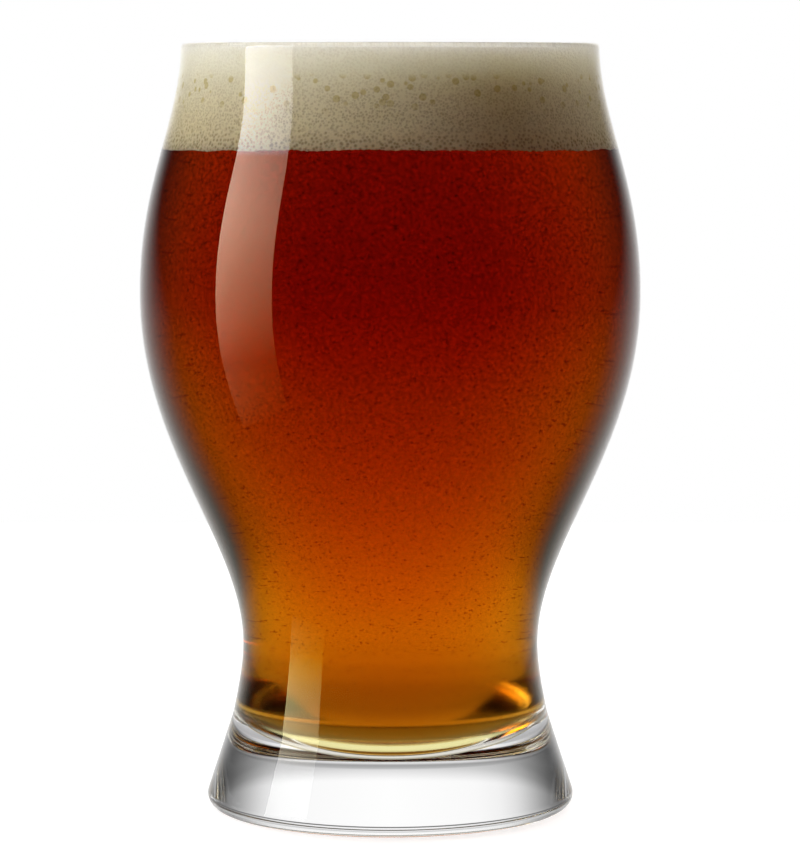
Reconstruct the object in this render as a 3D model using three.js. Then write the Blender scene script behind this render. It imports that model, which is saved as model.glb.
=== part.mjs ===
// Craft beer glass: one moulded piece, a bulbous bowl drawn in to a waist above a heavy conical foot,
// poured with amber beer under a thick head of foam.
// Millimetres, +Z up. The origin is the centre of the flat underside that the glass stands on.
import * as THREE from 'three';

// Outside of the glass, from the rim down
const HEIGHT = 146;
const RIM_DIAMETER = 79.2;
const BELLY_DIAMETER = 95.3;
const BELLY_HEIGHT = 98.5;
const WAIST_DIAMETER = 56.6;
const WAIST_HEIGHT = 31.5;
const SHOULDER_DIAMETER = 60.8; // the crease where the bowl ends and the foot begins
const SHOULDER_HEIGHT = 17.5;
const FOOT_DIAMETER = 70.4; // the widest place of the foot, on its rounded heel
const HEEL_RADIUS = 2.5;

// Walls of the glass
const RIM_WALL = 1.8;
const BELLY_WALL = 2.2;
const WAIST_WALL = 2.8;
const FLOOR_THICKNESS = 8.5; // solid glass under the lowest point of the bowl
const DISH_DEPTH = 12; // the bowl's bottom, an elliptical dish, from its edge down to that point

// How long a wall stays upright at the end of a curve, as a share of that curve's height
const RIM_UPRIGHT = 0.3;
const ABOVE_BELLY_UPRIGHT = 0.46;
const BELOW_BELLY_UPRIGHT = 0.44;
const ABOVE_WAIST_UPRIGHT = 0.29;
const BELOW_WAIST_UPRIGHT = 0.38;
const SHOULDER_STRAIGHT = 0.04;

// What is poured into the glass
const HEAD_DEPTH = 19.5; // from the rim down to the line between beer and foam
const CROWN_DROP = 0.2; // the top of the foam under the rim
const FOAM_EDGE_DROP = 1; // where the foam leaves the wall, under the rim
const FILL_CLEARANCE = 0.3; // between the glass, the beer and the foam

// Facets
const SEGMENTS = 48;
const UPPER_STEPS = 10;
const LOWER_STEPS = 14;
const FLARE_STEPS = 6;
const HEEL_STEPS = 5;
const LIP_STEPS = 6;
const DISH_STEPS = 14;
const CROWN_STEPS = 6;

const GLASS_COLOUR = '#f4f6f4';
const BEER_COLOUR = '#8a2408';
const FOAM_COLOUR = '#d8cfb0';

// The bowl's walls as a falling line of points: from the rim out to the belly, then in to the waist.
// Both curves stand upright at their ends. Each inset moves its station in from the outside of the glass.
function bowlPoints(rimInset, bellyInset, waistInset) {
  const upperHeight = HEIGHT - BELLY_HEIGHT;
  const lowerHeight = BELLY_HEIGHT - WAIST_HEIGHT;
  const rim = new THREE.Vector2(RIM_DIAMETER / 2 - rimInset, HEIGHT);
  const belly = new THREE.Vector2(BELLY_DIAMETER / 2 - bellyInset, BELLY_HEIGHT);
  const waist = new THREE.Vector2(WAIST_DIAMETER / 2 - waistInset, WAIST_HEIGHT);
  const upper = new THREE.CubicBezierCurve(
    rim,
    new THREE.Vector2(rim.x, rim.y - RIM_UPRIGHT * upperHeight),
    new THREE.Vector2(belly.x, belly.y + ABOVE_BELLY_UPRIGHT * upperHeight),
    belly,
  );
  const lower = new THREE.CubicBezierCurve(
    belly,
    new THREE.Vector2(belly.x, belly.y - BELOW_BELLY_UPRIGHT * lowerHeight),
    new THREE.Vector2(waist.x, waist.y + ABOVE_WAIST_UPRIGHT * lowerHeight),
    waist,
  );
  return [...upper.getPoints(UPPER_STEPS), ...lower.getPoints(LOWER_STEPS).slice(1)];
}

// The inside of the bowl down to the axis: its walls, upright under the waist, then an elliptical dish.
// The clearance sets the whole line in from the glass.
function insidePoints(clearance) {
  const walls = bowlPoints(RIM_WALL + clearance, BELLY_WALL + clearance, WAIST_WALL + clearance);
  const dish = new THREE.EllipseCurve(
    0, FLOOR_THICKNESS + DISH_DEPTH, walls.at(-1).x, DISH_DEPTH - clearance, 0, -Math.PI / 2, true,
  ).getPoints(DISH_STEPS);
  dish.at(-1).x = 0;
  return [...walls, ...dish];
}

// The point of a falling line at a given height
function pointAt(points, height) {
  const next = points.findIndex((point) => point.y <= height);
  const [above, below] = [points[next - 1], points[next]];
  return above.clone().lerp(below, (above.y - height) / (above.y - below.y));
}

// A falling line of points from a given height down
function pointsBelow(points, height) {
  return [pointAt(points, height), ...points.filter((point) => point.y < height)];
}

// Rounded heel of the foot. It starts where the cone from the shoulder touches it and ends on the underside.
function heelPoints(shoulder) {
  const centre = new THREE.Vector2(FOOT_DIAMETER / 2 - HEEL_RADIUS, HEEL_RADIUS);
  const toShoulder = shoulder.clone().sub(centre);
  const touchAngle = toShoulder.angle() - Math.acos(HEEL_RADIUS / toShoulder.length());
  const heel = new THREE.EllipseCurve(
    centre.x, centre.y, HEEL_RADIUS, HEEL_RADIUS, touchAngle, -Math.PI / 2, true,
  );
  return heel.getPoints(HEEL_STEPS);
}

// Flare from the waist down to the shoulder, ending in line with the foot's cone
function flarePoints(shoulder, coneEnd) {
  const height = WAIST_HEIGHT - SHOULDER_HEIGHT;
  const waist = new THREE.Vector2(WAIST_DIAMETER / 2, WAIST_HEIGHT);
  const upCone = shoulder.clone().sub(coneEnd).normalize();
  const flare = new THREE.CubicBezierCurve(
    waist,
    new THREE.Vector2(waist.x, waist.y - BELOW_WAIST_UPRIGHT * height),
    shoulder.clone().addScaledVector(upCone, SHOULDER_STRAIGHT * height),
    shoulder,
  );
  return flare.getPoints(FLARE_STEPS);
}

// Rounded lip over the rim's wall, from the outside to the inside
function lipPoints() {
  const radius = RIM_WALL / 2;
  const lip = new THREE.EllipseCurve(
    RIM_DIAMETER / 2 - radius, HEIGHT - radius, radius, radius, 0, Math.PI, false,
  );
  return lip.getPoints(LIP_STEPS);
}

function revolve(name, profile, material) {
  const geometry = new THREE.LatheGeometry(profile, SEGMENTS);
  // A lathe turns about Y, and this object stands along Z
  geometry.rotateX(Math.PI / 2);
  const mesh = new THREE.Mesh(geometry, material);
  mesh.name = name;
  return mesh;
}

function makeGlass() {
  const shoulder = new THREE.Vector2(SHOULDER_DIAMETER / 2, SHOULDER_HEIGHT);
  const heel = heelPoints(shoulder);
  const lipStart = HEIGHT - RIM_WALL / 2;
  const outside = [
    ...bowlPoints(0, 0, 0).filter((point) => point.y < lipStart),
    ...flarePoints(shoulder, heel[0]).slice(1),
    ...heel,
    new THREE.Vector2(0, 0),
  ];
  const inside = insidePoints(0).filter((point) => point.y < lipStart);
  const profile = [...outside.reverse(), ...lipPoints(), ...inside];
  return revolve('glass', profile, new THREE.MeshStandardMaterial({
    color: GLASS_COLOUR, roughness: 0.02, metalness: 0, transparent: true, opacity: 0.3,
  }));
}

function makeBeer() {
  const level = HEIGHT - HEAD_DEPTH;
  const side = pointsBelow(insidePoints(FILL_CLEARANCE), level);
  const profile = [...side.reverse(), new THREE.Vector2(0, level)];
  return revolve('beer', profile, new THREE.MeshStandardMaterial({
    color: BEER_COLOUR, roughness: 0.02, metalness: 0, transparent: true, opacity: 0.85,
  }));
}

function makeFoamHead() {
  const bottom = HEIGHT - HEAD_DEPTH + FILL_CLEARANCE;
  const edge = HEIGHT - FOAM_EDGE_DROP;
  const wall = insidePoints(FILL_CLEARANCE);
  const side = [
    ...pointsBelow(wall, edge).filter((point) => point.y > bottom),
    pointAt(wall, bottom),
  ];
  const crown = new THREE.EllipseCurve(
    0, edge, side[0].x, FOAM_EDGE_DROP - CROWN_DROP, 0, Math.PI / 2, false,
  ).getPoints(CROWN_STEPS);
  crown.at(-1).x = 0;
  const profile = [new THREE.Vector2(0, bottom), ...side.reverse(), ...crown.slice(1)];
  return revolve('foam_head', profile, new THREE.MeshStandardMaterial({
    color: FOAM_COLOUR, roughness: 0.9, metalness: 0,
  }));
}

const beerGlass = new THREE.Group();
beerGlass.add(makeGlass(), makeBeer(), makeFoamHead());

export default beerGlass;
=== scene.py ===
# Craft beer glass, poured with amber ale under a thick head of foam.
# Metres, +Z up. The glass stands on z = 0 and is seen from -Y.
import math
import random

import bmesh
import bpy
from bpy.props import FloatProperty, FloatVectorProperty, IntProperty, PointerProperty
from mathutils import Matrix, Vector
from mathutils.geometry import interpolate_bezier
from mathutils.kdtree import KDTree
from mathutils.noise import noise


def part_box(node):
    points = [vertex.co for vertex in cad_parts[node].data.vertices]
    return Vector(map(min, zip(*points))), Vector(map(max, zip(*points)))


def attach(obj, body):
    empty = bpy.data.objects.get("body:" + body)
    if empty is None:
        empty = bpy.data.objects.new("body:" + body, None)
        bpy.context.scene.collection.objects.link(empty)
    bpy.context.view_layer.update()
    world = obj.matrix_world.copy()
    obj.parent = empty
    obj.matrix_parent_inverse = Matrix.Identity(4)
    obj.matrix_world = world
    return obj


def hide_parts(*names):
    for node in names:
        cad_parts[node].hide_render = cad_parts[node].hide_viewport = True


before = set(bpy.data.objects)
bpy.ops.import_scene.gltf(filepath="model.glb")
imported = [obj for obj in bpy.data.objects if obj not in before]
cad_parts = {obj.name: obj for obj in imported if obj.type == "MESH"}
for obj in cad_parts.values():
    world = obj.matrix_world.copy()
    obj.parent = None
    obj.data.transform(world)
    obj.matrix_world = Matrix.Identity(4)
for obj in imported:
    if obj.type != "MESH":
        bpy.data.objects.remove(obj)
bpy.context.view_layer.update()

bl_info = {
    "name": "Beer Glass",
    "version": (1, 0, 0),
    "blender": (4, 5, 0),
    "location": "3D View > Sidebar > Beer Glass",
    "description": "A craft beer glass with its beer, foam and bubbles, on a white studio floor",
    "category": "Add Mesh",
}

MM = 0.001
SECTORS = 16  # a turned piece is spun through one sector, which is then repeated
FLOOR_REACH = 0.45  # how far the table goes on behind the glass
GLASS_IOR = 1.52
BEER_IOR = 1.34
BEER_ABSORPTION = (12.5, 44.6, 148)  # of red, green and blue light, per metre of beer
BEER_DENSITY = 150  # a round number above the strongest of these, as the absorption node needs
DISH_BLUR = 0.25  # roughness of the wetted glass at the edge of the dish
DEEP_PATH = 4.5  # light that crosses more faces than this is taken to have come through the beer
AT_ALL = 0.5  # a depth above this means that light was mirrored or scattered at least once
NEAR_WALL = 0.9  # points further out than this share of the rim's inside belong to a wall
LINE_BAND = 6 * MM  # how far from the line between beer and foam its sag is felt

# Steps along each curve of the outlines
UPPER_STEPS = 48
LOWER_STEPS = 64
DISH_STEPS = 56
FLARE_STEPS = 24
HEEL_STEPS = 14
LIP_STEPS = 12
CROWN_STEPS = 48


def linear(hex_colour):
    """An sRGB colour such as #d8cfb0 as linear red, green and blue."""
    channels = [int(hex_colour[i : i + 2], 16) / 255 for i in (1, 3, 5)]
    return tuple(c / 12.92 if c <= 0.04045 else ((c + 0.055) / 1.055) ** 2.4 for c in channels)


def length(name, millimetres, description):
    """A size in the sidebar, given in millimetres and kept in metres."""
    return FloatProperty(
        name=name, description=description, default=millimetres * MM, unit="LENGTH", precision=5
    )


def share(name, default, description):
    """A part of a whole in the sidebar, from 0 to 1."""
    return FloatProperty(name=name, description=description, default=default, subtype="FACTOR")


def colour(name, hex_colour, description):
    """A colour in the sidebar, given in sRGB and kept linear."""
    return FloatVectorProperty(
        name=name, description=description, default=linear(hex_colour), subtype="COLOR", min=0, max=1
    )


class GlassSizes(bpy.types.PropertyGroup):
    """The turned outline of the glass, the same as the CAD part's."""

    height: FloatProperty(
        name="Height",
        description="From the table to the rim",
        default=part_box("glass")[1].z,
        unit="LENGTH",
        precision=5,
    )
    rim_diameter: length("Rim diameter", 79.2, "Outside of the rim")
    belly_diameter: length("Belly diameter", 95.3, "Outside of the widest place")
    belly_height: length("Belly height", 98.5, "Height of the widest place")
    waist_diameter: length("Waist diameter", 56.6, "Outside of the narrowest place")
    waist_height: length("Waist height", 31.5, "Height of the narrowest place")
    shoulder_diameter: length("Shoulder diameter", 60.8, "The crease between bowl and foot")
    shoulder_height: length("Shoulder height", 17.5, "Height of that crease")
    foot_diameter: length("Foot diameter", 70.4, "The widest place of the foot, on its heel")
    heel_radius: length("Heel radius", 2.5, "Rounding of the foot's lower edge")
    rim_wall: length("Rim wall", 1.8, "Wall at the rim")
    belly_wall: length("Belly wall", 2.2, "Wall at the belly")
    waist_wall: length("Waist wall", 2.8, "Wall at the waist")
    floor_thickness: length("Floor thickness", 8.5, "Solid glass under the lowest point of the bowl")
    dish_depth: length("Dish depth", 12, "The bowl's elliptical bottom, from its edge to its lowest point")
    rim_upright: share("Rim upright", 0.3, "How long the wall stays upright under the rim")
    above_belly: share("Above belly", 0.46, "How long the wall stays upright above the belly")
    below_belly: share("Below belly", 0.44, "How long the wall stays upright under the belly")
    above_waist: share("Above waist", 0.29, "How long the wall stays upright above the waist")
    below_waist: share("Below waist", 0.38, "How long the wall stays upright under the waist")
    shoulder_straight: share("Shoulder straight", 0.04, "Straight end of the flare at the shoulder")
    segments: IntProperty(name="Segments", description="Steps of a full turn", default=192, min=24)


class DrinkSizes(bpy.types.PropertyGroup):
    """What is poured into the glass."""

    head_depth: length("Head depth", 19.5, "From the rim down to the line between beer and foam")
    crown_drop: length("Crown drop", 0.2, "The top of the foam under the rim")
    edge_drop: length("Edge drop", 1, "Where the foam leaves the wall, under the rim")
    line_sag: length("Line sag", 0.8, "How much lower the foam's edge is at the left and the right")
    wetting: length("Wetting", 0.1, "How far the beer reaches into the wall, so that no air is between them")
    foam_wetting: length("Foam wetting", 0.25, "How far the foam reaches into the wall")
    beer_rise: length("Beer rise", 0.4, "How far the beer reaches up into the foam")
    beer_density: FloatProperty(
        name="Beer density", description="Scale of the absorption per metre of beer", default=BEER_DENSITY
    )
    bubble_count: IntProperty(name="Bubbles", description="Rising bubbles in the beer", default=12000)
    bubble_radius: length("Bubble radius", 0.17, "Middle size of a rising bubble")
    bubble_inset: length("Bubble inset", 0.5, "Between the wall and the middle of the nearest bubble")
    bubble_cling: length("Bubble cling", 2, "How deep the layer of bubbles along the wall is")
    foam_cell: length("Foam cell", 0.33, "Spacing of the foam's mesh")
    foam_top: colour("Foam top", "#f6f3df", "Dry foam at the rim")
    foam_foot: colour("Foam foot", "#eadcae", "Wet foam on the beer")


class StageSettings(bpy.types.PropertyGroup):
    """Camera and studio."""

    camera_distance: length("Camera distance", 723.5, "From the glass's axis")
    camera_height: length("Camera height", 142, "Above the table")
    camera_side: length("Camera side", 1.86, "How far the camera stands to the right of the axis")
    camera_pitch: FloatProperty(
        name="Camera pitch",
        description="How far the camera looks down",
        default=math.radians(5.543),
        subtype="ANGLE",
    )
    lens: FloatProperty(
        name="Lens",
        description="Focal length in millimetres on a 36 mm sensor",
        default=157.97,
        subtype="DISTANCE_CAMERA",
    )
    key_radiance: FloatProperty(name="Key light", description="Brightness of the softbox", default=6.3)


# Outlines: falling lines of (radius, height) points


def curve(start, start_handle, end_handle, end, steps):
    """Points of a cubic curve between two stations."""
    stations = [Vector(point) for point in (start, start_handle, end_handle, end)]
    return [Vector(point) for point in interpolate_bezier(*stations, steps + 1)]


def arc(centre, radii, start, end, steps):
    """Points of an arc of a circle or ellipse, from one angle to another."""
    turn = [start + (end - start) * i / steps for i in range(steps + 1)]
    return [Vector((centre[0] + radii[0] * math.cos(a), centre[1] + radii[1] * math.sin(a))) for a in turn]


def bowl_line(rim_inset, belly_inset, waist_inset):
    """The wall from the rim out to the belly and in to the waist, set in from the outside of the glass."""
    glass = bpy.context.scene.glass_sizes
    upper = glass.height - glass.belly_height
    lower = glass.belly_height - glass.waist_height
    rim = Vector((glass.rim_diameter / 2 - rim_inset, glass.height))
    belly = Vector((glass.belly_diameter / 2 - belly_inset, glass.belly_height))
    waist = Vector((glass.waist_diameter / 2 - waist_inset, glass.waist_height))
    line = curve(
        rim,
        (rim.x, rim.y - glass.rim_upright * upper),
        (belly.x, belly.y + glass.above_belly * upper),
        belly,
        UPPER_STEPS,
    )
    line += curve(
        belly,
        (belly.x, belly.y - glass.below_belly * lower),
        (waist.x, waist.y + glass.above_waist * lower),
        waist,
        LOWER_STEPS,
    )[1:]
    return line


def inside_line(inset=0):
    """The inside of the bowl down to the axis: its wall, upright under the waist, and an elliptical dish."""
    glass = bpy.context.scene.glass_sizes
    wall = bowl_line(glass.rim_wall + inset, glass.belly_wall + inset, glass.waist_wall + inset)
    edge = glass.floor_thickness + glass.dish_depth
    dish = arc((0, edge), (wall[-1].x, glass.dish_depth - inset), 0, -math.pi / 2, DISH_STEPS)
    dish[-1].x = 0
    return wall + dish


def outside_line():
    """The outside of the glass from the rim down to the axis on its underside."""
    glass = bpy.context.scene.glass_sizes
    shoulder = Vector((glass.shoulder_diameter / 2, glass.shoulder_height))
    centre = Vector((glass.foot_diameter / 2 - glass.heel_radius, glass.heel_radius))
    lean = shoulder - centre
    touch = math.atan2(lean.y, lean.x) - math.acos(glass.heel_radius / lean.length)
    heel = arc(centre, (glass.heel_radius, glass.heel_radius), touch, -math.pi / 2, HEEL_STEPS)
    height = glass.waist_height - glass.shoulder_height
    waist = Vector((glass.waist_diameter / 2, glass.waist_height))
    flare = curve(
        waist,
        (waist.x, waist.y - glass.below_waist * height),
        shoulder + (shoulder - heel[0]).normalized() * glass.shoulder_straight * height,
        shoulder,
        FLARE_STEPS,
    )
    return bowl_line(0, 0, 0) + flare[1:] + heel + [Vector((0, 0))]


def point_at(line, height):
    """The point of a falling line at a height."""
    for above, below in zip(line, line[1:]):
        if below.y <= height:
            return above.lerp(below, (above.y - height) / (above.y - below.y))
    raise ValueError("The line ends above this height")


def below(line, height):
    """A falling line from a height down."""
    return [point_at(line, height)] + [point for point in line if point.y < height]


def sag(vert, wall):
    """Slide a point down along the wall with the line between beer and foam. Points away from it stay."""
    near = 1 - abs(vert.co.z - beer_level()) / LINE_BAND
    out = vert.co.xy.length
    if near > 0 and out > NEAR_WALL * wall[0].x:
        height = vert.co.z - near * bpy.context.scene.drink_sizes.line_sag * (vert.co.x / out) ** 2
        stretch = point_at(wall, height).x / point_at(wall, vert.co.z).x
        vert.co = (vert.co.x * stretch, vert.co.y * stretch, height)


def beer_level():
    """Height of the line between beer and foam."""
    scene = bpy.context.scene
    return scene.glass_sizes.height - scene.drink_sizes.head_depth


# Meshes


def turned(outline, segments):
    """A bmesh of an outline that is turned about the axis of the glass. It starts and ends on the axis."""
    bm = bmesh.new()
    chain = [bm.verts.new((point.x, 0, point.y)) for point in outline]
    edges = [bm.edges.new(pair) for pair in zip(chain, chain[1:])]
    about = {"cent": (0, 0, 0), "axis": (0, 0, 1)}
    sector = math.tau / SECTORS
    bmesh.ops.spin(bm, geom=chain + edges, angle=sector, steps=max(1, segments // SECTORS), **about)
    bmesh.ops.spin(
        bm,
        geom=bm.verts[:] + bm.edges[:] + bm.faces[:],
        angle=math.tau - sector,
        steps=SECTORS - 1,
        use_duplicate=True,
        **about,
    )
    bmesh.ops.remove_doubles(bm, verts=bm.verts, dist=0.002 * MM)
    bmesh.ops.recalc_face_normals(bm, faces=bm.faces)
    return bm


def finish_piece(name, bm, *materials):
    """Make a smooth object of a bmesh that rides on the glass."""
    for face in bm.faces:
        face.smooth = True
    mesh = bpy.data.meshes.new(name)
    bm.to_mesh(mesh)
    bm.free()
    for material in materials:
        mesh.materials.append(material)
    piece = bpy.data.objects.new(name, mesh)
    bpy.context.scene.collection.objects.link(piece)
    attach(piece, "root")
    return piece


# Materials


def add_node(tree, kind, inputs=None, **settings):
    """Add a node with its settings. An input is a value, or an output of another node to link."""
    node = tree.nodes.new(kind)
    for name, value in settings.items():
        setattr(node, name, value)
    for name, value in (inputs or {}).items():
        if isinstance(value, bpy.types.NodeSocket):
            tree.links.new(value, node.inputs[name])
        else:
            node.inputs[name].default_value = value
    return node


def add_ramp(tree, value, *stops):
    """Colours along a value from 0 to 1. Each stop is a position and a linear colour."""
    node = add_node(tree, "ShaderNodeValToRGB", {"Fac": value})
    ramp = node.color_ramp
    ramp.elements.remove(ramp.elements[1])
    for number, (position, shade) in enumerate(stops):
        stop = ramp.elements[0] if number == 0 else ramp.elements.new(position)
        stop.position = position
        stop.color = (*shade, 1)
    return node.outputs["Color"]


def add_math(tree, operation, *values):
    """Work out one number of one to three others."""
    return add_node(tree, "ShaderNodeMath", dict(enumerate(values)), operation=operation).outputs[0]


def add_range(tree, value, start, end, low=0, high=1, **settings):
    """Turn a value that goes from start to end into one that goes from low to high."""
    limits = {"Value": value, "From Min": start, "From Max": end, "To Min": low, "To Max": high}
    return add_node(tree, "ShaderNodeMapRange", limits, **settings).outputs[0]


def add_mix(tree, factor, first, second):
    """Blend two colours."""
    inputs = {"Factor": factor, "A": first, "B": second}
    return add_node(tree, "ShaderNodeMix", inputs, data_type="RGBA").outputs["Result"]


def add_height(tree):
    """Where a point of a piece is, and how high that is above the table."""
    place = add_node(tree, "ShaderNodeTexCoord").outputs["Object"]
    return place, add_node(tree, "ShaderNodeSeparateXYZ", {0: place}).outputs["Z"]


def grey(level):
    """A colour without hue."""
    return (level, level, level)


def empty_material(name):
    """A new material with no nodes yet."""
    material = bpy.data.materials.new(name)
    material.use_nodes = True
    material.node_tree.nodes.clear()
    return material


def clear_glass(name, bending, blur=0):
    """Soda-lime glass, moulded and fire polished: no colour, and edges that bend the background.
    What it mirrors is tinted by height, as a painted reflection: warm over the beer and white over the foam
    and the foot.
    With a blur, what is seen through the edge of the dish is softened, as by a slightly uneven face."""
    material = empty_material(name)
    tree = material.node_tree
    height = add_height(tree)[1]
    top = bpy.context.scene.glass_sizes.height
    rise = add_math(tree, "DIVIDE", height, top)
    # Painted reflection tint: the colour given to what it mirrors, by height in millimetres
    painted_gleam_stops = (
        (12, grey(0.3)),
        (20, (1, 0.85, 0.4)),
        (32, (1, 0.85, 0)),
        (88, (1, 0.25, 0)),
        (102, (1, 0.47, 0.21)),
        (112, (1, 0.6, 0.35)),
        (125.5, (1, 0.64, 0.43)),
        (126.5, grey(1)),
        (139, grey(1)),
        (144, grey(0.6)),
    )
    painted_gleam = add_ramp(tree, rise, *((level * MM / top, shade) for level, shade in painted_gleam_stops))
    roughness = 0
    if blur:
        blur_stops = ((12, 0), (18, blur), (25, blur), (30, 0))
        roughness = add_ramp(tree, rise, *((level * MM / top, grey(value)) for level, value in blur_stops))
    surface = add_node(
        tree,
        "ShaderNodeBsdfPrincipled",
        {
            "Base Color": (1, 1, 1, 1),
            "Roughness": roughness,
            "IOR": bending,
            "Transmission Weight": 1,
            "Specular Tint": painted_gleam,
        },
    )
    add_node(tree, "ShaderNodeOutputMaterial", {"Surface": surface.outputs[0]})
    return material


def amber_beer():
    """Filtered amber ale: clear, and deeper red the further light has to travel through it.
    Towards the foam its skin is tinted darker and redder, and lighter at its sides, as painted shade; it is
    also speckled, for a cloud of bubbles too fine to model."""
    # The wetted face of the glass already bends light from glass to beer, so the beer's own skin bends none.
    shade_and_grain_foot = 26 * MM
    shade_and_grain_top = 126 * MM
    grain_size = 0.7 * MM
    material = empty_material("amber ale, filtered")
    tree = material.node_tree
    place, height = add_height(tree)
    rise = add_range(tree, height, shade_and_grain_foot, shade_and_grain_top)
    # Painted shade by height: the skin darker and redder towards the foam
    middle = add_ramp(
        tree,
        rise,
        (0, (1, 1, 1)),
        (0.1, (0.98, 0.95, 0.95)),
        (0.19, (0.92, 0.74, 0.7)),
        (0.3, (0.88, 0.62, 0.55)),
        (0.44, (0.7, 0.4, 0.35)),
        (0.55, (0.59, 0.33, 0.3)),
        (0.64, (0.54, 0.15, 0.2)),
        (0.72, (0.42, 0.05, 0.1)),
        (1, (0.37, 0.06, 0.1)),
    )
    side = add_ramp(
        tree,
        rise,
        (0, (1, 1, 1)),
        (0.1, (0.98, 0.98, 0.9)),
        (0.3, (0.8, 0.85, 0.8)),
        (0.44, (0.73, 0.84, 0.7)),
        (0.55, (0.64, 0.78, 0.5)),
        (0.64, (0.64, 0.58, 0.4)),
        (0.72, (0.56, 0.28, 0.3)),
        (1, (0.56, 0.3, 0.3)),
    )
    # Painted shade at the sides: the skin lighter and greener where it turns aside from the view
    facing = add_node(tree, "ShaderNodeLayerWeight").outputs["Facing"]
    painted_shade = add_mix(tree, add_range(tree, facing, 0.03, 0.2), middle, side)
    # Grain on the near side only, stronger towards the foam
    grain = add_node(
        tree, "ShaderNodeTexNoise", {"Vector": place, "Scale": 1 / grain_size, "Detail": 2, "Roughness": 0.6}
    )
    denser = add_range(tree, rise, 0, 1, 0.15, 3.3)
    far_side = add_node(tree, "ShaderNodeNewGeometry").outputs["Backfacing"]
    swing = add_node(tree, "ShaderNodeMix", {"Factor": far_side, "A": denser, "B": 0.0}).outputs[0]
    around = add_math(tree, "SUBTRACT", grain.outputs["Fac"], 0.5)
    speckle = add_math(tree, "MULTIPLY_ADD", around, swing, 1)
    tint = add_node(tree, "ShaderNodeVectorMath", {0: painted_shade, "Scale": speckle}, operation="SCALE")
    surface = add_node(
        tree,
        "ShaderNodeBsdfPrincipled",
        {"Base Color": tint.outputs[0], "Roughness": 0, "IOR": 1, "Transmission Weight": 1},
    )
    passed = [1 - absorbed / BEER_DENSITY for absorbed in BEER_ABSORPTION]
    density = bpy.context.scene.drink_sizes.beer_density
    absorption = add_node(tree, "ShaderNodeVolumeAbsorption", {"Color": (*passed, 1), "Density": density})
    add_node(
        tree,
        "ShaderNodeOutputMaterial",
        {"Surface": surface.outputs[0], "Volume": absorption.outputs[0]},
    )
    return material


def beer_foam():
    """Beer foam, whipped by the pour: creamy at the rim, darker, coarser and pitted towards the beer."""
    window_size = 2.3 * MM
    coarse_pit = 0.66 * MM
    fine_pit = 0.46 * MM
    pit_depth = 0.5 * MM
    dry_rim = 5 * MM  # the foam is dry from this far under the rim
    drink = bpy.context.scene.drink_sizes
    material = empty_material("beer foam, poured")
    tree = material.node_tree
    place, height = add_height(tree)
    dry = add_range(tree, height, beer_level(), bpy.context.scene.glass_sizes.height - dry_rim)
    tint = add_mix(tree, dry, (*drink.foam_foot, 1), (*drink.foam_top, 1))
    # Round windows of single large bubbles, in one band under the rim
    window, coarse, fine = (
        add_node(tree, "ShaderNodeTexVoronoi", {"Vector": place, "Scale": 1 / size}).outputs["Distance"]
        for size in (window_size, coarse_pit, fine_pit)
    )
    disc = add_range(tree, window, 0.27, 0.33, 1, 0)
    band = add_ramp(tree, dry, (0.4, grey(0)), (0.62, grey(0.8)), (0.88, grey(0.8)), (0.95, grey(0)))
    shown = add_math(tree, "MULTIPLY", disc, band)
    yellowed = add_mix(tree, shown, tint, (*linear("#d6c98c"), 1))
    # Pits of the small bubbles, coarser on the beer than under the rim. Their centres are painted darker, as
    # painted shade in each pit, most of all on the beer.
    upwards = add_range(tree, dry, 0.1, 0.4)
    cells = add_node(tree, "ShaderNodeMix", {"Factor": upwards, "A": coarse, "B": fine}).outputs[0]
    darkest = add_range(tree, dry, 0, 1, 0.72, 0.12)
    pit_shade = add_range(tree, cells, 0.2, 0.6, darkest, 0)
    shaded = add_mix(tree, pit_shade, yellowed, (*linear("#9c8450"), 1))
    depth = add_range(tree, dry, 0, 1, 0.9, 0.3)
    pits = add_node(tree, "ShaderNodeBump", {"Height": cells, "Strength": depth, "Distance": pit_depth})
    surface = add_node(
        tree,
        "ShaderNodeBsdfPrincipled",
        {
            "Base Color": shaded,
            "Roughness": 0.45,
            "IOR": 1.33,
            "Subsurface Weight": 0.8,
            "Subsurface Radius": (1, 0.95, 0.85),
            "Subsurface Scale": 12 * MM,
            "Normal": pits.outputs[0],
        },
    )
    add_node(tree, "ShaderNodeOutputMaterial", {"Surface": surface.outputs[0]})
    return material


def gas_bubble():
    """Carbon dioxide in beer. A real bubble bends part of the light away and looks like a darker dot.
    Here its skin is tinted instead and bends none."""
    material = empty_material("carbon dioxide, rising in beer")
    tree = material.node_tree
    surface = add_node(
        tree,
        "ShaderNodeBsdfPrincipled",
        {"Base Color": (*linear("#e2c7ab"), 1), "Roughness": 0, "IOR": 1, "Transmission Weight": 1},
    )
    add_node(tree, "ShaderNodeOutputMaterial", {"Surface": surface.outputs[0]})
    return material


def turn_aside(tree, towards):
    """The angle between a level direction and the one straight behind the glass."""
    level = add_node(tree, "ShaderNodeVectorMath", {0: towards, 1: (1, 1, 0)}, operation="MULTIPLY")
    unit = add_node(tree, "ShaderNodeVectorMath", {0: level.outputs[0]}, operation="NORMALIZE")
    ahead = add_node(tree, "ShaderNodeSeparateXYZ", {0: unit.outputs[0]}).outputs["Y"]
    return add_math(tree, "ARCCOSINE", ahead)


def fade_aside(tree, towards):
    """How bright the studio is by the angle aside: white behind, dim at the sides and lighter in front."""
    share_of_turn = add_math(tree, "DIVIDE", turn_aside(tree, towards), math.pi)
    stops = (
        (0, 0.97),
        (20, 0.93),
        (27, 0.87),
        (33, 0.74),
        (40, 0.52),
        (46, 0.36),
        (53, 0.22),
        (62, 0.14),
        (80, 0.14),
        (110, 0.3),
        (150, 0.65),
        (180, 0.7),
    )
    return add_ramp(tree, share_of_turn, *((degrees / 180, grey(level)) for degrees, level in stops))


# Operators


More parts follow.
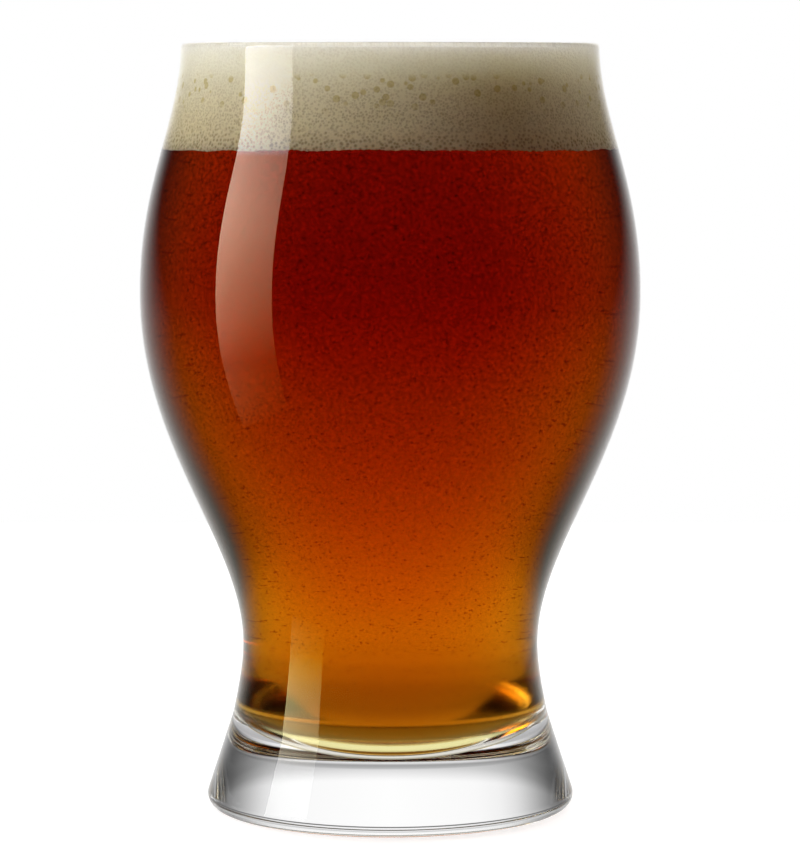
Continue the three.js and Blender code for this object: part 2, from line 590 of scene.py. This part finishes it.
class BEERGLASS_OT_glass(bpy.types.Operator):
    """Turn the glass: bowl, waist, foot and lip in one piece of clear glass"""

    bl_idname = "beer_glass.glass"
    bl_label = "Glass"

    def execute(self, context):
        glass = context.scene.glass_sizes
        lip_radius = glass.rim_wall / 2
        lip_centre = (glass.rim_diameter / 2 - lip_radius, glass.height - lip_radius)
        lip = arc(lip_centre, (lip_radius, lip_radius), 0, math.pi, LIP_STEPS)
        outside = [point for point in outside_line() if point.y < lip_centre[1]]
        inside = [point for point in inside_line() if point.y < lip_centre[1]]
        bm = turned(outside[::-1] + lip + inside, glass.segments)
        self.wet(bm)
        piece = finish_piece(
            "beer_glass",
            bm,
            clear_glass("soda-lime glass, fire polished", GLASS_IOR),
            clear_glass("soda-lime glass, wetted by beer", GLASS_IOR / BEER_IOR, DISH_BLUR),
        )
        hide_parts("glass")
        return {"FINISHED"}

    def wet(self, bm):
        """Give the inside under the beer's level the second material."""
        level = beer_level()
        faces_up = 0.7
        underside = 1 * MM
        for face in bm.faces:
            middle = face.calc_center_median()
            outwards = face.normal.x * middle.x + face.normal.y * middle.y
            inner = outwards < 0 or (face.normal.z > faces_up and middle.z > underside)
            if inner and middle.z < level:
                face.material_index = 1


class BEERGLASS_OT_beer(bpy.types.Operator):
    """Fill the bowl with beer up to the foam"""

    bl_idname = "beer_glass.beer"
    bl_label = "Beer"

    def execute(self, context):
        drink = context.scene.drink_sizes
        level = beer_level() + drink.beer_rise
        wall = inside_line(-drink.wetting)
        bm = turned([Vector((0, level))] + below(wall, level), context.scene.glass_sizes.segments)
        for vert in bm.verts:
            sag(vert, wall)
        piece = finish_piece("amber_beer", bm, amber_beer())
        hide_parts("beer")
        return {"FINISHED"}


class BEERGLASS_OT_foam(bpy.types.Operator):
    """Float the head of foam on the beer"""

    bl_idname = "beer_glass.foam"
    bl_label = "Foam head"

    def execute(self, context):
        glass = context.scene.glass_sizes
        drink = context.scene.drink_sizes
        level = beer_level()
        edge = glass.height - drink.edge_drop
        wall = inside_line(-drink.foam_wetting)
        rows = round((edge - level) / drink.foam_cell)
        side = [point_at(wall, edge + (level - edge) * i / rows) for i in range(rows + 1)]
        crown_height = drink.edge_drop - drink.crown_drop
        crown = arc((0, edge), (side[0].x, crown_height), math.pi / 2, 0, CROWN_STEPS)
        crown[0].x = 0
        under = [Vector((side[-1].x * way_out, level)) for way_out in (0.97, 0.9, 0.7, 0.4, 0)]
        bm = turned(crown[:-1] + side + under, round(math.tau * side[0].x / drink.foam_cell))
        self.pit(bm, wall, level, edge)
        piece = finish_piece("foam_head_dressed", bm, beer_foam())
        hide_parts("foam_head")
        return {"FINISHED"}

    def pit(self, bm, wall, level, edge):
        """Press the cells of single bubbles into the foam, and leave its lower edge ragged."""
        pit_count = 1500
        pitted_band = 12 * MM
        pit_depth = 0.2  # as a share of the pit's radius
        ragged_band = 1.2 * MM
        rng = random.Random(11)
        bm.verts.ensure_lookup_table()
        tree = KDTree(len(bm.verts))
        for vert in bm.verts:
            tree.insert(vert.co, vert.index)
        tree.balance()
        for _ in range(pit_count):
            # The power crowds the pits towards the beer
            height = level + pitted_band * rng.random() ** 1.5
            radius = rng.uniform(0.3, 0.5) * MM
            angle = rng.uniform(0, math.tau)
            reach = point_at(wall, min(height, edge)).x
            outwards = Vector((math.cos(angle), math.sin(angle), 0))
            centre = outwards * reach + Vector((0, 0, height))
            for _, index, distance in tree.find_range(centre, radius):
                dome = 1 - (distance / radius) ** 2
                bm.verts[index].co -= outwards * pit_depth * radius * dome
        for vert in bm.verts:
            lift = 1 - abs(vert.co.z - level) / ragged_band
            if lift > 0 and vert.co.xy.length > NEAR_WALL * wall[0].x:
                vert.co.z += lift * self.raggedness(vert.co)
            sag(vert, wall)

    def raggedness(self, place):
        """How far the foam's lower edge strays up or down: short waves on long ones."""
        short = noise(place / (0.55 * MM)) * 0.22 * MM
        return short + noise(place / (4 * MM)) * 0.25 * MM


class BEERGLASS_OT_bubbles(bpy.types.Operator):
    """Scatter the fine bubbles that rise through the beer"""

    bl_idname = "beer_glass.bubbles"
    bl_label = "Rising bubbles"

    def execute(self, context):
        drink = context.scene.drink_sizes
        clinging = 0.85  # the share of bubbles that cling to the wall
        crowding = 0.55  # under 1, the bubbles grow denser with height
        level = beer_level()
        wall = inside_line(drink.bubble_inset)
        lowest = wall[-1].y
        rng = random.Random(4)
        ball = bmesh.new()
        bmesh.ops.create_uvsphere(ball, u_segments=4, v_segments=2, radius=1)
        ball_mesh = bpy.data.meshes.new("bubble")
        ball.to_mesh(ball_mesh)
        ball.free()
        bm = bmesh.new()
        for _ in range(drink.bubble_count):
            height = lowest + (level - lowest) * rng.random() ** crowding
            reach = point_at(wall, height).x
            radius = drink.bubble_radius * rng.uniform(0.5, 1.4)
            if rng.random() < clinging:
                out = max(0, reach - rng.random() ** 2 * drink.bubble_cling)
            else:
                out = reach * math.sqrt(rng.random())
            angle = rng.uniform(0, math.tau)
            place = Matrix.Translation((out * math.cos(angle), out * math.sin(angle), height - radius))
            place @= Matrix.Scale(radius, 4)
            ball_mesh.transform(place)
            bm.from_mesh(ball_mesh)
            ball_mesh.transform(place.inverted())
        bpy.data.meshes.remove(ball_mesh)
        piece = finish_piece("rising_bubbles", bm, gas_bubble())
        return {"FINISHED"}


class BEERGLASS_OT_stage(bpy.types.Operator):
    """Set the camera, the floor, the lights and the white studio"""

    bl_idname = "beer_glass.stage"
    bl_label = "Stage"

    def execute(self, context):
        self.place_camera(context)
        self.lay_floor()
        self.hang_softbox(context)
        self.hang_top_light(context)
        self.light_world(context)
        # Light is mirrored many times inside the solid foot before it leaves it
        context.scene.cycles.max_bounces = 32
        context.scene.cycles.glossy_bounces = 24
        context.scene.cycles.transmission_bounces = 24
        context.scene.view_settings.view_transform = "Standard"
        return {"FINISHED"}

    def place_camera(self, context):
        """The photograph's camera: a long lens at about the height of the rim, that looks slightly down."""
        stage = context.scene.stage_settings
        data = bpy.data.cameras.new("camera")
        data.sensor_width = 36
        data.lens = stage.lens
        data.clip_start = 0.01
        camera = bpy.data.objects.new("camera", data)
        camera.location = (stage.camera_side, -stage.camera_distance, stage.camera_height)
        camera.rotation_euler = (math.pi / 2 - stage.camera_pitch, 0, 0)
        context.scene.collection.objects.link(camera)
        context.scene.camera = camera

    def panel(self, name, material, place, size):
        """A flat stage panel. It starts as a unit square that faces up."""
        bm = bmesh.new()
        bmesh.ops.create_grid(bm, x_segments=1, y_segments=1, size=0.5)
        bmesh.ops.scale(bm, vec=(*size, 1), verts=bm.verts)
        bmesh.ops.transform(bm, matrix=place, verts=bm.verts)
        mesh = bpy.data.meshes.new(name)
        bm.to_mesh(mesh)
        bm.free()
        mesh.materials.append(material)
        panel = bpy.data.objects.new(name, mesh)
        bpy.context.scene.collection.objects.link(panel)
        return panel

    def lay_floor(self):
        """A white table under the glass and behind it."""
        front = 0.075
        width = 0.26
        drop = 0.2 * MM  # so that the table and the underside of the glass don't coincide
        floor = self.panel(
            "studio_floor",
            self.table_paint(),
            Matrix.Translation((0, (FLOOR_REACH - front) / 2, -drop)),
            (width, FLOOR_REACH + front),
        )
        floor.visible_glossy = False

    def table_paint(self):
        """White paint. Through the glass it dims towards the foot, where the glass shades it.
        Under the glass lies the pool of yellow light that comes down through the beer."""
        material = empty_material("white table, painted")
        tree = material.node_tree
        path = add_node(tree, "ShaderNodeLightPath").outputs
        place = add_node(tree, "ShaderNodeTexCoord").outputs["Object"]
        away = add_node(tree, "ShaderNodeVectorMath", {0: place}, operation="LENGTH").outputs["Value"]
        reach = add_math(tree, "DIVIDE", away, FLOOR_REACH)
        shaded = add_ramp(
            tree,
            reach,
            (34 * MM / FLOOR_REACH, grey(0.5)),
            (37 * MM / FLOOR_REACH, grey(0.8)),
            (41 * MM / FLOOR_REACH, grey(0.5)),
            (0.31, grey(0.88)),
            (1, grey(0.97)),
        )
        dimmed = add_math(tree, "MULTIPLY", shaded, fade_aside(tree, place))
        # A little more light through the beer, and much less where it was mirrored inside the glass
        deep = add_math(tree, "GREATER_THAN", path["Transmission Depth"], DEEP_PATH)
        strengthened = add_math(tree, "MULTIPLY_ADD", deep, 0.1, 1)
        turned_back = add_math(tree, "GREATER_THAN", path["Glossy Depth"], AT_ALL)
        weakened = add_math(tree, "MULTIPLY_ADD", turned_back, -0.75, strengthened)
        open_floor = add_math(tree, "MULTIPLY", dimmed, weakened)
        pool = add_ramp(
            tree,
            reach,
            (5 * MM / FLOOR_REACH, (0.5, 0.42, 0.12)),
            (12 * MM / FLOOR_REACH, (0.92, 0.86, 0.43)),
        )
        seen = add_mix(tree, add_range(tree, away, 20 * MM, 32 * MM), pool, open_floor)
        paint = add_node(tree, "ShaderNodeBsdfDiffuse", {"Color": (*linear("#b8b8b8"), 1)})
        glow = add_node(tree, "ShaderNodeEmission", {"Strength": 0.8})
        unlit = add_node(tree, "ShaderNodeMixShader", {0: path["Is Camera Ray"], 2: glow.outputs[0]})
        table = add_node(tree, "ShaderNodeAddShader", {0: paint.outputs[0], 1: unlit.outputs[0]})
        through = add_node(tree, "ShaderNodeEmission", {"Color": seen})
        shaders = {0: path["Is Transmission Ray"], 1: table.outputs[0], 2: through.outputs[0]}
        both = add_node(tree, "ShaderNodeMixShader", shaders)
        add_node(tree, "ShaderNodeOutputMaterial", {"Surface": both.outputs[0]})
        return material

    def hang_softbox(self, context):
        """A tall softbox at the left, which the glass mirrors as a bright band."""
        distance = 0.7
        angle = math.radians(68)
        size = (0.38, 0.9)
        centre_height = 0.1
        material = self.softbox_cloth(context.scene.stage_settings.key_radiance, angle, size[0])
        aim = Matrix.Rotation(-angle, 4, "Z") @ Matrix.Translation((0, -distance, centre_height))
        upright = Matrix.Rotation(math.pi / 2, 4, "X")
        softbox = self.panel("studio_softbox", material, aim @ upright, size)
        softbox.visible_camera = False
        softbox.visible_shadow = False

    def softbox_cloth(self, radiance, angle, width):
        """Cloth that is brightest above its middle. It lights the foam with a strength of its own."""
        foam_strengths = (16, 2)  # at its edge near the camera and at the one behind
        material = empty_material("softbox cloth, lit from behind")
        tree = material.node_tree
        place, height = add_height(tree)
        cloth = add_ramp(
            tree,
            add_range(tree, height, -0.35, 0.55),
            (0, grey(0.02)),
            (0.25, grey(0.21)),
            (0.39, grey(0.54)),
            (0.52, grey(0.75)),
            (0.67, grey(0.96)),
            (0.76, grey(1)),
            (0.89, grey(0.85)),
        )
        across = add_node(
            tree,
            "ShaderNodeVectorMath",
            {0: place, 1: (-math.cos(angle), math.sin(angle), 0)},
            operation="DOT_PRODUCT",
        ).outputs["Value"]
        falloff = add_range(tree, across, -width / 2, width / 2, 0.65 * radiance, 1.35 * radiance)
        on_foam = add_range(tree, across, -width / 2, width / 2, *foam_strengths)
        path = add_node(tree, "ShaderNodeLightPath").outputs
        scattered = add_math(tree, "GREATER_THAN", path["Diffuse Depth"], AT_ALL)
        strength = add_node(tree, "ShaderNodeMix", {"Factor": scattered, "A": falloff, "B": on_foam})
        glow = add_node(tree, "ShaderNodeEmission", {"Color": cloth, "Strength": strength.outputs[0]})
        add_node(tree, "ShaderNodeOutputMaterial", {"Surface": glow.outputs[0]})
        return material

    def hang_top_light(self, context):
        """A square light over the left, aimed at the foam."""
        radiance = 0.95
        target = Vector((0, 0, 0.14))
        data = bpy.data.lights.new("top light", "AREA")
        data.shape = "SQUARE"
        data.size = 0.5
        data.energy = radiance * math.pi * data.size**2
        lamp = bpy.data.objects.new("top light", data)
        lamp.location = (-0.35, 0.12, 0.7)
        lamp.rotation_euler = (Vector(lamp.location) - target).to_track_quat("Z", "Y").to_euler()
        lamp.visible_camera = False
        context.scene.collection.objects.link(lamp)

    def light_world(self, context):
        """A studio that is white to the camera, with other light for what is mirrored, bent or scattered."""
        world = bpy.data.worlds.new("white studio")
        context.scene.world = world
        world.use_nodes = True
        tree = world.node_tree
        tree.nodes.clear()
        path = add_node(tree, "ShaderNodeLightPath").outputs
        towards = add_node(tree, "ShaderNodeTexCoord").outputs["Generated"]
        axis = add_node(tree, "ShaderNodeSeparateXYZ", {0: towards}).outputs
        aside = turn_aside(tree, towards)
        # The white table widens what the lower half of the glass mirrors
        width = add_range(tree, axis["Z"], -0.1, 0.1, math.radians(66), math.radians(41))
        mirrored = add_range(
            tree, aside, math.radians(6), width, 1, 0.01, interpolation_type="SMOOTHSTEP"
        )
        bent = self.light_through(tree, path, towards, axis)
        glassy = add_node(
            tree, "ShaderNodeMix", {"Factor": path["Is Transmission Ray"], "A": mirrored, "B": bent}
        )
        # Light for the foam comes from behind, with a little amber from the beer all round
        behind = add_range(
            tree, aside, math.radians(50), math.radians(100), 2.15, 0, interpolation_type="SMOOTHSTEP"
        )
        amber = (0.08, 0.03, 0)
        warmed = add_node(tree, "ShaderNodeVectorMath", {0: behind, 1: amber}, operation="ADD")
        scattered = add_math(tree, "GREATER_THAN", path["Diffuse Depth"], AT_ALL)
        lit = add_mix(tree, scattered, glassy.outputs[0], warmed.outputs[0])
        shown = add_mix(tree, path["Is Camera Ray"], lit, (1, 1, 1, 1))
        background = add_node(tree, "ShaderNodeBackground", {"Color": shown})
        add_node(tree, "ShaderNodeOutputWorld", {"Surface": background.outputs[0]})

    def light_through(self, tree, path, towards, axis):
        """How bright what is seen through the glass is, by the slope of its light and the angle aside."""
        brightest = 1.2
        lowest = -0.2
        highest = 1.2
        least_depth = 0.3  # keeps the slope finite at the sides and in front
        depth = add_math(tree, "MAXIMUM", axis["Y"], least_depth)
        slope = add_math(tree, "DIVIDE", axis["Z"], depth)
        climb = add_range(tree, slope, lowest, highest)
        # Brightness by slope, through clear glass and through the beer
        clear_stops = (
            (0.24, 1.04),
            (0.26, 0.86),
            (0.28, 0.66),
            (0.32, 0.5),
            (0.4, 0.42),
            (0.5, 0.38),
            (0.6, 0.55),
            (0.75, 0.85),
            (1.2, 0.85),
        )
        beer_stops = (
            (-0.1, 1.07),
            (0, 1.12),
            (0.1, 1.18),
            (0.25, 1.18),
            (0.32, 1.02),
            (0.4, 0.86),
            (0.5, 0.66),
            (0.66, 0.37),
            (0.84, 0.33),
            (1.2, 0.29),
        )
        span = highest - lowest
        clear, beer = (
            add_ramp(tree, climb, *(((at - lowest) / span, grey(level / brightest)) for at, level in stops))
            for stops in (clear_stops, beer_stops)
        )
        deep = add_math(tree, "GREATER_THAN", path["Transmission Depth"], DEEP_PATH)
        upright = add_node(tree, "ShaderNodeMix", {"Factor": deep, "A": clear, "B": beer}).outputs[0]
        faded = add_math(tree, "MULTIPLY", upright, fade_aside(tree, towards))
        return add_math(tree, "MULTIPLY", faded, brightest)


class VIEW3D_PT_beer_glass(bpy.types.Panel):
    """Sizes of the glass and its drink, and a button for each piece"""

    bl_label = "Beer Glass"
    bl_space_type = "VIEW_3D"
    bl_region_type = "UI"
    bl_category = "Beer Glass"

    def draw(self, context):
        for settings in (context.scene.glass_sizes, context.scene.drink_sizes, context.scene.stage_settings):
            box = self.layout.box()
            for name in settings.__annotations__:
                box.prop(settings, name)
        for operator in OPERATORS:
            self.layout.operator(operator.bl_idname)


OPERATORS = (
    BEERGLASS_OT_stage,
    BEERGLASS_OT_glass,
    BEERGLASS_OT_beer,
    BEERGLASS_OT_foam,
    BEERGLASS_OT_bubbles,
)
CLASSES = (GlassSizes, DrinkSizes, StageSettings, *OPERATORS, VIEW3D_PT_beer_glass)


def register():
    for cls in CLASSES:
        bpy.utils.register_class(cls)
    bpy.types.Scene.glass_sizes = PointerProperty(type=GlassSizes)
    bpy.types.Scene.drink_sizes = PointerProperty(type=DrinkSizes)
    bpy.types.Scene.stage_settings = PointerProperty(type=StageSettings)


def unregister():
    del bpy.types.Scene.stage_settings
    del bpy.types.Scene.drink_sizes
    del bpy.types.Scene.glass_sizes
    for cls in reversed(CLASSES):
        bpy.utils.unregister_class(cls)


def main():
    register()
    bpy.ops.beer_glass.stage()
    bpy.ops.beer_glass.glass()
    bpy.ops.beer_glass.beer()
    bpy.ops.beer_glass.foam()
    bpy.ops.beer_glass.bubbles()


if __name__ == "__main__":
    main()
